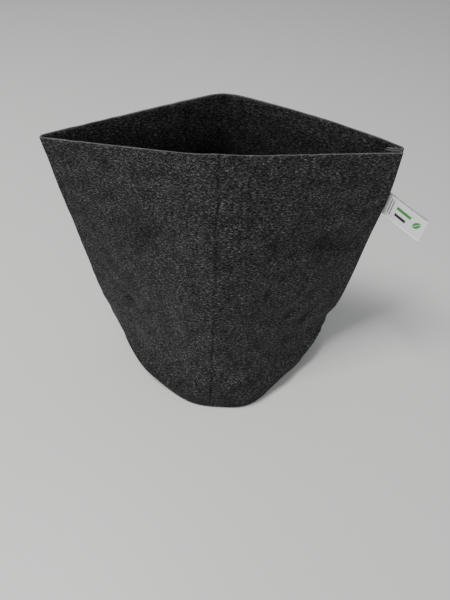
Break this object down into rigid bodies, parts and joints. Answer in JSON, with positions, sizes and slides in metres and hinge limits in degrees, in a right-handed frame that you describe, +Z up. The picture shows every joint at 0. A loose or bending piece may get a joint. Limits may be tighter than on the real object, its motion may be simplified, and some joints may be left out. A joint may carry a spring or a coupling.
{
  "type": "fabric grow bag",
  "caption": "Open-topped sewn felt plant pot with a round base, a lozenge-shaped mouth, one side seam and a folded ribbon label that swings.",
  "frame": {"origin": "centre of the base disc's underside, on the surface that the bag stands on", "axes": "+Z up through the mouth, +X to the side seam and its label, -Y to the front"},
  "size_m": [0.3376, 0.2136, 0.274],
  "materials": {
    "felt": "matte needle-punched felt, dark charcoal",
    "thread": "black polyester sewing thread",
    "ribbon": "white satin ribbon"
  },
  "bodies": {
    "bag": {"wall_panel": "felt", "base_disc": "felt", "side_seam_needle_thread": "thread", "side_seam_bobbin_thread": "thread", "base_seam_needle_thread": "thread", "base_seam_bobbin_thread": "thread", "label_sewn_ends": "ribbon"},
    "label": {"label_loop": "ribbon"}
  },
  "joints": [
    {"name": "label_swing", "type": "hinge", "parent": "bag", "child": "label", "pos_m": [0.15412, 0.00309, 0.20201], "axis": [0.0732, 0.0153, 0.9972], "range_deg": [-35, 145], "stiffness_Nm_per_rad": 0.0001}
  ]
}
